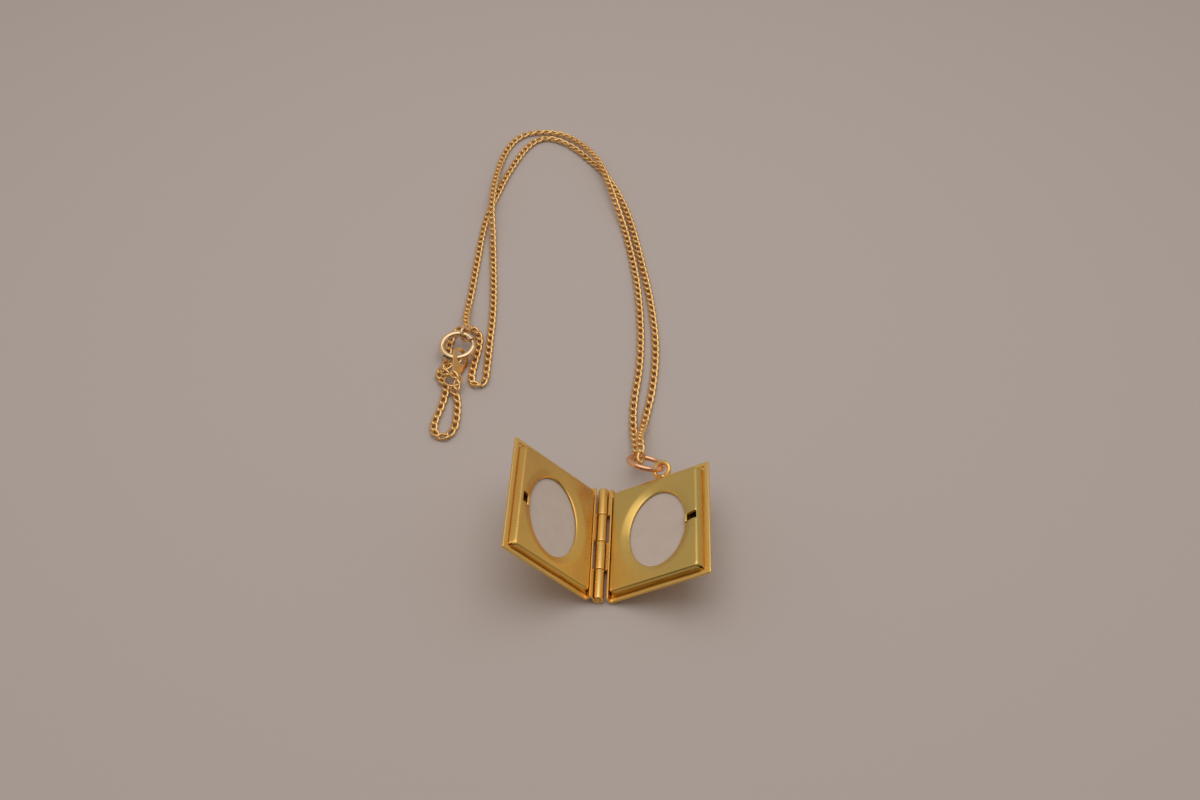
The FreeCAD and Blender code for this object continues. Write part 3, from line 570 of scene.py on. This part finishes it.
makeFrame("rightFrame", "frame_right", "locket", rightTurn, rightGold, picture["rightFoot"],
          {"tall": 6.45, "y": 0.0}, {"x": 13.6, "y": 0.0, "wide": 1.75, "half": 0.68}, 0.03)
makeFrame("leftFrame", "frame_left", "left_leaf", leftTurn, leftGold, picture["leftFoot"],
          {"tall": 6.6, "y": 0.15}, {"x": 13.55, "y": 0.4, "wide": 1.15, "half": 0.9}, 0.025)
print("frames made")


# Cards: ovals that bow a little
card = {"middle": 8.4, "wide": 4.42, "top": -0.75, "gauge": 0.2}


def makeCard(name, node, body, rotation, tall, bow):
    # the bow: a dome that is highest in the middle, one minus the square each way
    share = np.concatenate([np.linspace(0.0, 0.96, 9), [1.0]])[:, None]
    angle = np.radians(np.linspace(0, 360, 96, endpoint=False))[None, :]
    offset = card["wide"] * share * np.cos(angle)
    y = tall * share * np.sin(angle)
    top = card["top"] - bow * (1 - (y / tall) ** 2) * (1 - (offset / card["wide"]) ** 2)
    upper = np.stack([card["middle"] + offset, y, top], axis=-1)
    lower = (upper - [0, 0, card["gauge"]])[::-1]
    points = np.concatenate([upper, lower])
    cells = gridCells(*points.shape[:2], wrapColumns=True)
    makePiece(name, [(placed(points, rotation, hinge), cells)], cardPaper, body, node)


makeCard("rightCard", "card_right", "locket", rightTurn, 6.7, 0.06)
makeCard("leftCard", "card_left", "left_leaf", leftTurn, 6.84, 0.08)

# Jump ring
ring = {"radius": 2.55, "wire": 0.37, "heading": 149.0, "slope": 4.5, "roll": 30.0, "shift": 0.22}
eyeMiddle = hinge + rightTurn @ np.array([eye["x"], eye["y"], eye["z"]])
ringTurn = turn("z", ring["heading"]) @ turn("y", ring["slope"]) @ turn("x", ring["roll"])
ringReach = ringTurn @ np.array([ring["radius"], 0, 0])
ringMiddle = eyeMiddle + np.array([0, ring["shift"], 0]) + ringReach
ringParts = [torus(ring["radius"], ring["wire"], ringTurn, ringMiddle)]
makePiece("jumpRing", ringParts, ringGold, "locket", "jump_ring")

# Spring ring clasp: hollow tube with a slot, the bolt with its trigger, and the linking ring
clasp = {"x": -22.58, "y": 39.78, "z": 2.0, "tilt": 9.5, "radius": 2.46, "tube": 0.52,
         "wall": 0.17, "mouthStart": -5.0, "mouthEnd": 27.0, "slotHalf": 0.31, "bolt": 0.29,
         "boltTip": 31.0, "trigger": -97.0, "travel": 36.0, "slotRoom": 8.5,
         "triggerRadius": 0.25, "triggerReach": 0.85}
claspMiddle = overTable(clasp)
claspTurn = turn("x", clasp["tilt"])


# where the trigger stands on the ring, in degrees
seatAngle = clasp["trigger"] + math.degrees(clasp["triggerRadius"] / clasp["radius"])


def claspTubeParts():
    # a tube's grid with rows at both ends of the slot; the slot's cells are left out
    slotStart = seatAngle - clasp["travel"] - clasp["slotRoom"] + 360
    slotEnd = slotStart + clasp["travel"] + 2 * clasp["slotRoom"]
    along = np.concatenate([np.linspace(clasp["mouthEnd"], slotStart, 60)[:-1],
                            np.linspace(slotStart, slotEnd, 22)[:-1],
                            np.linspace(slotEnd, 360 + clasp["mouthStart"], 36)])
    half = math.degrees(math.asin(clasp["slotHalf"] / clasp["tube"]))
    around = np.concatenate([np.linspace(-half, half, 5)[:-1],
                             np.linspace(half, 360 - half, 24)[:-1]])
    a, b = np.radians(along)[:, None], np.radians(around)[None, :]
    reach = clasp["radius"] + clasp["tube"] * np.cos(b)
    height = clasp["tube"] * np.sin(b) + 0 * a
    points = np.stack([reach * np.cos(a), reach * np.sin(a), height], axis=-1)
    cells = gridCells(*points.shape[:2], wrapColumns=True)
    middle = (along[1:] + along[:-1]) / 2
    cutRows = (middle > slotStart) & (middle < slotEnd)
    keep = np.ones(cells.shape[:2], dtype=bool)
    keep[np.ix_(cutRows, np.arange(4))] = False
    return placed(points, claspTurn, claspMiddle), cells[keep]


makePiece("claspTube", [claspTubeParts()], claspGold, "locket", "clasp_ring",
          wall=clasp["wall"], edge=0.03, crease=50.0)


def domedRod(radius, along, rotation, middle):
    # a rod carried along x from 0, with a domed far end: radius falls as the square root
    x = np.array([0.0, 0.0, 0.3, 0.55, 0.7, 0.8, 0.88, 0.94, 0.98, 1.0]) * along
    r = radius * np.sqrt(np.clip((1.0 - x / along) / 0.45, 0.0, 1.0))
    r[0] = 0.0
    a = np.radians(np.linspace(0, 360, 24, endpoint=False))[None, :]
    points = np.stack([x[:, None] + 0 * a, r[:, None] * np.cos(a), r[:, None] * np.sin(a)], axis=-1)
    return placed(points, rotation, middle), gridCells(*points.shape[:2], wrapColumns=True)


triggerTurn = claspTurn @ turn("z", seatAngle)
triggerFoot = claspMiddle + triggerTurn @ np.array([clasp["radius"], 0, 0])
boltArc = (clasp["trigger"], clasp["boltTip"])
boltParts = [torus(clasp["radius"], clasp["bolt"], claspTurn, claspMiddle, boltArc),
             domedRod(clasp["triggerRadius"], clasp["triggerReach"], triggerTurn, triggerFoot)]
makePiece("claspBolt", boltParts, claspGold, "bolt", "clasp_bolt")

link = {"radius": 1.08, "wire": 0.22, "angle": 66.0, "offset": 0.2, "lean": 25.0}
linkTurn = claspTurn @ turn("z", link["angle"]) @ turn("x", 90 - link["lean"])
linkAngle = math.radians(link["angle"])
linkOut = np.array([math.cos(linkAngle), math.sin(linkAngle), 0])
linkMiddle = claspMiddle + claspTurn @ (linkOut * (clasp["radius"] + link["offset"]))
linkParts = [torus(link["radius"], link["wire"], linkTurn, linkMiddle, around=14, along=48)]
makePiece("claspLink", linkParts, claspGold, "locket", "clasp_link")

endRing = {"x": -22.75, "y": 32.44, "z": 1.42, "radius": 1.35, "wire": 0.17}
endParts = [torus(endRing["radius"], endRing["wire"], np.eye(3), overTable(endRing),
                  around=12, along=56)]
makePiece("endRing", endParts, chainGold, "locket", "end_ring")
print("rings and clasp made")

# Chain: the same route as the solid tube, measured from the middle of the hinge, in millimetres
onTable = 0.5
route = (
    (-21.34, 43.65, 2.55), (-21.79, 46.04, 2.0), (-21.84, 48.83, 1.2), (-21.74, 52.12, onTable),
    (-21.47, 56.18, onTable), (-21.26, 61.18, onTable), (-21.03, 65.94, onTable),
    (-20.79, 70.99, onTable), (-20.36, 75.78, onTable), (-19.68, 79.57, onTable),
    (-18.74, 83.6, onTable), (-17.64, 88.32, onTable), (-16.32, 92.86, onTable),
    (-14.62, 97.69, onTable), (-12.73, 101.04, onTable), (-10.21, 102.33, onTable),
    (-7.09, 100.88, onTable), (-4.23, 97.85, onTable), (-1.59, 93.79, onTable),
    (0.65, 90.42, onTable), (2.16, 86.83, onTable), (3.56, 82.44, onTable), (4.9, 77.17, onTable),
    (6.15, 69.65, onTable), (7.1, 62.07, onTable), (7.96, 55.57, onTable), (8.54, 48.98, onTable),
    (8.8, 42.67, onTable), (8.55, 36.61, onTable), (7.76, 29.93, onTable), (7.06, 26.65, onTable),
    (6.58, 23.86, 0.8), (6.06, 20.65, 1.9), (5.61, 17.37, 3.86), (5.86, 13.27, 4.26),
    (5.21, 13.12, 1.96), (5.11, 17.17, 1.76), (4.97, 20.35, 0.95), (4.82, 23.27, onTable),
    (4.92, 26.85, onTable), (5.27, 30.43, onTable), (6.08, 36.07, onTable), (6.44, 42.67, onTable),
    (6.44, 49.57, onTable), (6.15, 57.42, onTable), (5.28, 65.42, onTable), (4.03, 73.98, onTable),
    (2.61, 79.57, 1.5), (1.47, 84.92, 1.8), (0.39, 90.14, 1.8), (-1.07, 94.44, 1.6),
    (-3.54, 99.45, 0.9), (-6.69, 103.14, onTable), (-9.65, 104.175, onTable),
    (-12.32, 104.175, onTable), (-14.85, 103.31, onTable), (-17.02, 100.4, onTable),
    (-18.52, 95.34, onTable), (-19.21, 88.33, 1.3), (-19.5, 82.01, 1.8), (-19.43, 76.61, 1.8),
    (-18.92, 71.52, 1.3), (-18.58, 66.34, onTable), (-18.14, 59.91, onTable),
    (-17.78, 53.74, onTable), (-17.63, 48.4, onTable), (-17.75, 42.67, onTable),
    (-17.81, 36.4, onTable), (-17.91, 32.32, onTable), (-20.15, 32.52, onTable),
    (-20.0, 36.7, onTable), (-19.4, 40.68, onTable), (-19.4, 43.96, onTable),
    (-20.79, 46.05, onTable), (-22.88, 45.85, onTable), (-23.98, 43.66, onTable),
    (-24.18, 40.68, onTable), (-24.18, 38.19, onTable), (-24.48, 36.4, onTable),
    (-25.37, 35.01, onTable), (-24.77, 33.42, onTable), (-23.88, 32.12, onTable),
    (-23.88, 29.74, onTable), (-24.38, 26.75, onTable), (-25.07, 23.87, onTable),
    (-24.77, 21.48, onTable), (-22.98, 20.78, onTable), (-21.79, 22.67, onTable),
    (-21.69, 26.05, onTable), (-21.89, 29.44, onTable), (-22.49, 30.53, 0.7),
)
# the slack links of the knot, which lie over the end ring
knot = (
    (-22.35, 36.9, 1.25), (-23.3, 35.9, 1.5), (-24.5, 35.0, 1.5), (-24.2, 33.9, 1.5),
    (-23.1, 33.7, 1.75), (-22.3, 32.8, 1.9), (-22.1, 31.3, 1.4),
)
chain = {"pitch": 1.46, "halfLong": 0.92, "halfWide": 0.44, "wire": 0.235, "twist": 42.0,
         "reach": 0.55, "along": 16, "around": 6}


def splinePoints(points):
    curve = bpy.data.curves.new("chainRoute", "CURVE")
    curve.dimensions = "3D"
    spline = curve.splines.new("NURBS")
    spline.points.add(len(points) - 1)
    spline.points.foreach_set("co", np.column_stack([points, np.ones(len(points))]).ravel())
    spline.order_u = 3
    spline.use_endpoint_u = True
    spline.resolution_u = 24
    holder = bpy.data.objects.new("chainRoute", curve)
    bpy.context.scene.collection.objects.link(holder)
    bpy.context.view_layer.update()
    mesh = bpy.data.meshes.new_from_object(holder)
    line = np.empty(len(mesh.vertices) * 3)
    mesh.vertices.foreach_get("co", line)
    bpy.data.objects.remove(holder)
    bpy.data.curves.remove(curve)
    bpy.data.meshes.remove(mesh)
    return line.reshape(-1, 3)


def linkPlaces(way, seed):
    # the middle and the three axes of each link: forward, side and top
    line = splinePoints(np.array(way) + [hinge[0], hinge[1], 0.0])
    run = np.concatenate([[0.0], np.cumsum(np.linalg.norm(np.diff(line, axis=0), axis=1))])
    count = int(round(run[-1] / chain["pitch"]))
    spot = np.linspace(0, run[-1], count)

    def along(places):
        return np.stack([np.interp(places, run, line[:, axis]) for axis in range(3)], axis=1)

    forward = along(spot + chain["reach"]) - along(spot - chain["reach"])
    forward /= np.linalg.norm(forward, axis=1, keepdims=True)
    # across: level and square to the chain; where it stands upright, taken from its neighbours
    across = np.cross(forward, [0.0, 0.0, 1.0])
    length = np.linalg.norm(across, axis=1, keepdims=True)
    across /= np.maximum(length, 1e-6)
    flip = np.sign(np.sum(across[1:] * across[:-1], axis=1))
    flip[flip == 0] = 1
    across[1:] *= np.cumprod(flip)[:, None]
    sound = length[:, 0] > 0.5
    across = np.stack([np.interp(spot, spot[sound], across[sound, axis])
                       for axis in range(3)], axis=1)
    across -= forward * np.sum(across * forward, axis=1, keepdims=True)
    across /= np.linalg.norm(across, axis=1, keepdims=True)
    up = np.cross(forward, across)
    # each link leans a little by itself, and the chain slowly rolls as it lies
    random = np.random.default_rng(seed)
    roll = 9 * np.sin(spot / 7.3) + 8 * np.sin(spot / 2.9 + 1.0)
    lean = np.radians(roll + random.normal(0, 6, count))[:, None]
    side = across * np.cos(lean) + up * np.sin(lean)
    top = up * np.cos(lean) - across * np.sin(lean)
    print("links", count, "length", round(run[-1], 1))
    return along(spot), np.stack([forward, side, top], axis=1)


def curbLink():
    # an oval of wire: a point goes out from the oval by wire * cos b and up by wire * sin b.
    # The oval is then twisted about the chain, by an angle that grows along the link.
    a = np.radians(np.linspace(0, 360, chain["along"], endpoint=False))[:, None]
    b = np.radians(np.linspace(0, 360, chain["around"], endpoint=False))[None, :]
    wide, long = chain["halfWide"], chain["halfLong"]
    normalX, normalY = np.cos(a) * wide, np.sin(a) * long
    size = np.hypot(normalX, normalY)
    x = long * np.cos(a) + chain["wire"] * np.cos(b) * normalX / size
    y = wide * np.sin(a) + chain["wire"] * np.cos(b) * normalY / size
    z = chain["wire"] * np.sin(b) + 0 * a
    twist = -np.radians(chain["twist"]) * x / long
    turnedY = y * np.cos(twist) - z * np.sin(twist)
    turnedZ = y * np.sin(twist) + z * np.cos(twist)
    return np.stack([x, turnedY, turnedZ], axis=-1).reshape(-1, 3)


def chainParts(way, seed):
    middle, axes = linkPlaces(way, seed)
    shape = curbLink()
    points = middle[:, None, :] + np.einsum("pk,nkd->npd", shape, axes)
    cells = gridCells(chain["along"], chain["around"], wrapRows=True, wrapColumns=True)
    first = np.arange(len(middle)) * len(shape)
    return points, cells.reshape(1, -1, 4) + first[:, None, None]


chainLinks = [chainParts(route, 7), chainParts(knot, 3)]
makePiece("chainLinks", chainLinks, chainGold, "locket", "chain", crease=80.0)

# CAD nodes that stay as they are
for nodeName, material in (("hinge_pin", hingeGold), ("end_tag", chainGold)):
    node = frame["nodes"][nodeName]
    for slotNumber in range(max(1, len(node.material_slots))):
        if not node.material_slots:
            node.data.materials.append(material)
        node.material_slots[slotNumber].material = material
print("chain made")

# Floor, light and camera
studio = {"floorSize": 3.0, "floorColor": (0.627, 0.561, 0.519), "skyColor": (1.0, 0.93, 0.89, 1.0),
          "skyStrength": 0.45, "opening": 0.03, "lampEnergy": 0.225, "lampColor": (1.0, 0.95, 0.93),
          "lampPlace": (0.006, 0.012, 0.26), "lampTarget": (0.0, 0.012, 0), "lampSize": 0.28,
          "lens": 40.5, "eyePlace": (0.005351, -0.167963, 0.14218), "eyeTilt": 43.42}
floorMesh = bpy.data.meshes.new("floor")
size = studio["floorSize"]
corners = [(-size, -size, 0), (size, -size, 0), (size, size, 0), (-size, size, 0)]
floorMesh.from_pydata(corners, [], [(0, 1, 2, 3)])
floor = bpy.data.objects.new("floor", floorMesh)
bpy.context.scene.collection.objects.link(floor)
floorPaint = bpy.data.materials.new("floorPaint")
floorPaint.use_nodes = True
floorShader = floorPaint.node_tree.nodes["Principled BSDF"]
floorShader.inputs["Base Color"].default_value = studio["floorColor"] + (1.0,)
floorShader.inputs["Roughness"].default_value = 0.75
floorShader.inputs["Specular IOR Level"].default_value = 0.2
floorMesh.materials.append(floorPaint)

world = bpy.data.worlds.new("studio")
bpy.context.scene.world = world
world.use_nodes = True
sky = world.node_tree
background = sky.nodes["Background"]
axis = addNode(sky, "SeparateXYZ", {"0": addNode(sky, "TexCoord").outputs["Generated"]}).outputs
# a light tent, nearly even all round, with a dim opening in front above a pale apron
front = ramp(sky, axis["Y"], 1.0, 0.0, -0.5, -0.2)
lowDown = ramp(sky, axis["Z"], 1.0, 0.0, 0.45, 0.72)
apron = ramp(sky, axis["Z"], 0.0, 1.0, 0.06, 0.12)
gap = joinNumbers(sky, "MULTIPLY", joinNumbers(sky, "MULTIPLY", front, lowDown), apron)
light = ramp(sky, gap, 1.0, studio["opening"], 0.0, 1.0)
strength = timesNumber(sky, light, studio["skyStrength"])
sky.links.new(strength, background.inputs["Strength"])
background.inputs["Color"].default_value = studio["skyColor"]

lampData = bpy.data.lights.new("overhead", "AREA")
lampData.shape = "RECTANGLE"
lampData.size, lampData.size_y = studio["lampSize"], studio["lampSize"]
lampData.energy = studio["lampEnergy"]
lampData.color = studio["lampColor"]
lamp = bpy.data.objects.new("overhead", lampData)
# turned so that it faces its target
toward = np.array(studio["lampTarget"], dtype=float) - np.array(studio["lampPlace"], dtype=float)
flat = math.hypot(toward[0], toward[1])
lamp.location = studio["lampPlace"]
heading = math.atan2(toward[1], toward[0]) - math.pi / 2
lamp.rotation_euler = (math.atan2(flat, -toward[2]), 0, heading)
bpy.context.scene.collection.objects.link(lamp)

cameraData = bpy.data.cameras.new("camera")
cameraData.lens = studio["lens"]
cameraData.sensor_width = 36.0
cameraData.clip_start = 0.01
camera = bpy.data.objects.new("camera", cameraData)
camera.location = studio["eyePlace"]
camera.rotation_euler = (math.radians(90 - studio["eyeTilt"]), 0, 0)
bpy.context.scene.collection.objects.link(camera)
bpy.context.scene.camera = camera
bpy.context.scene.view_settings.view_transform = "Standard"
print("studio made")
